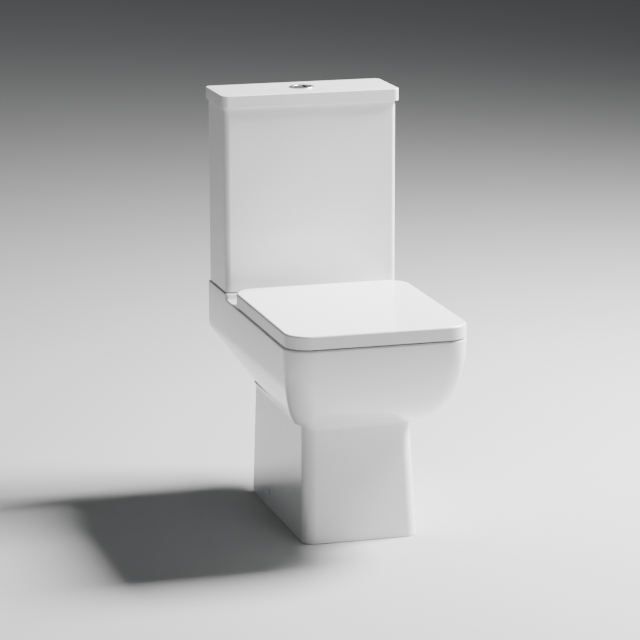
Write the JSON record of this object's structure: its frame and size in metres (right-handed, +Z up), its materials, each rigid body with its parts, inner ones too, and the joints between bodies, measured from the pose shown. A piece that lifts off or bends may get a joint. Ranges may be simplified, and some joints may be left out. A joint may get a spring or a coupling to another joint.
{
  "type": "close coupled toilet",
  "caption": "Close coupled toilet with a square rounded bowl on a tapered foot, a slab cistern with a dual flush button, and a hinged seat and lid.",
  "frame": {"origin": "the centre of the footprint's box on the floor", "axes": "+X to the right seen from the front, +Y towards the wall, +Z up"},
  "size_m": [0.36, 0.612, 0.812],
  "materials": {
    "ceramic": "gloss",
    "seat_plastic": "gloss",
    "chrome": "polished",
    "steel": "satin",
    "brass": "satin",
    "rubber": "matte",
    "valve_plastic": "satin",
    "valve_grey": "satin"
  },
  "bodies": {
    "toilet": {"pan": "ceramic", "pan_basin": "ceramic", "pan_trap": "ceramic", "floor_brackets": "steel", "side_screws": "steel", "side_screw_caps": "seat_plastic", "cistern": "ceramic", "coupling_bolts": "brass", "coupling_rubber_washers": "rubber", "coupling_steel_washers": "steel", "coupling_wing_nuts": "brass", "cistern_gasket": "rubber", "flush_valve_base": "valve_plastic", "flush_valve_washer": "rubber", "flush_valve_back_nut": "valve_plastic", "flush_valve_tower": "valve_plastic", "flush_valve_head": "valve_plastic", "fill_valve_body": "valve_plastic", "fill_valve_washer": "rubber", "fill_valve_back_nut": "valve_plastic", "fill_valve_head": "valve_grey", "fill_valve_outlet_tube": "valve_grey", "fill_valve_lever_pin": "steel", "hinge_posts": "chrome", "hinge_pins": "steel", "hinge_studs": "steel", "hinge_rubber_washers": "rubber", "hinge_wing_nuts": "valve_plastic"},
    "seat": {"seat_ring": "seat_plastic", "seat_buffers": "rubber"},
    "lid": {"seat_lid": "seat_plastic", "lid_buffers": "rubber"},
    "cistern_cover": {"cistern_lid": "ceramic", "button_bezel": "chrome", "button_lock_nut": "valve_plastic"},
    "full_flush": {"full_flush_button": "chrome", "full_flush_rod": "valve_plastic"},
    "half_flush": {"half_flush_button": "chrome", "half_flush_rod": "valve_plastic"},
    "flush_lift": {"flush_valve_overflow": "valve_grey", "flush_valve_seal": "rubber"},
    "float": {"fill_valve_float": "valve_grey"},
    "float_arm": {"fill_valve_lever": "valve_grey"}
  },
  "joints": [
    {"name": "seat_hinge", "type": "hinge", "parent": "toilet", "child": "seat", "pos_m": [0, 0.112, 0.424], "axis": [-1, 0, 0], "range_deg": [0, 95]},
    {"name": "lid_hinge", "type": "hinge", "parent": "seat", "child": "lid", "pos_m": [0, 0.112, 0.424], "axis": [1, 0, 0], "range_deg": [-95, 0]},
    {"name": "cistern_lid_lift", "type": "slide", "parent": "toilet", "child": "cistern_cover", "axis": [0, 0, 1], "range_m": [0, 0.15]},
    {"name": "full_flush_press", "type": "slide", "parent": "cistern_cover", "child": "full_flush", "axis": [0, 0, 1], "range_m": [-0.008, 0], "stiffness_N_per_m": 400, "springref_m": 0.004},
    {"name": "half_flush_press", "type": "slide", "parent": "cistern_cover", "child": "half_flush", "axis": [0, 0, 1], "range_m": [-0.008, 0], "stiffness_N_per_m": 400, "springref_m": 0.004},
    {"name": "flush_valve_lift", "type": "slide", "parent": "toilet", "child": "flush_lift", "axis": [0, 0, 1], "range_m": [0, 0.016]},
    {"name": "float_slide", "type": "slide", "parent": "toilet", "child": "float", "axis": [0, 0, 1], "range_m": [-0.06, 0]},
    {"name": "float_arm_tilt", "type": "hinge", "parent": "toilet", "child": "float_arm", "pos_m": [0.098, 0.235, 0.667], "axis": [0, 1, 0], "range_deg": [0, 8]}
  ],
  "couplings": [
    {"joint": "flush_valve_lift", "follows": "full_flush_press", "ratio": -2},
    {"joint": "float_arm_tilt", "follows": "float_slide", "rad_per_m": -2.32}
  ]
}
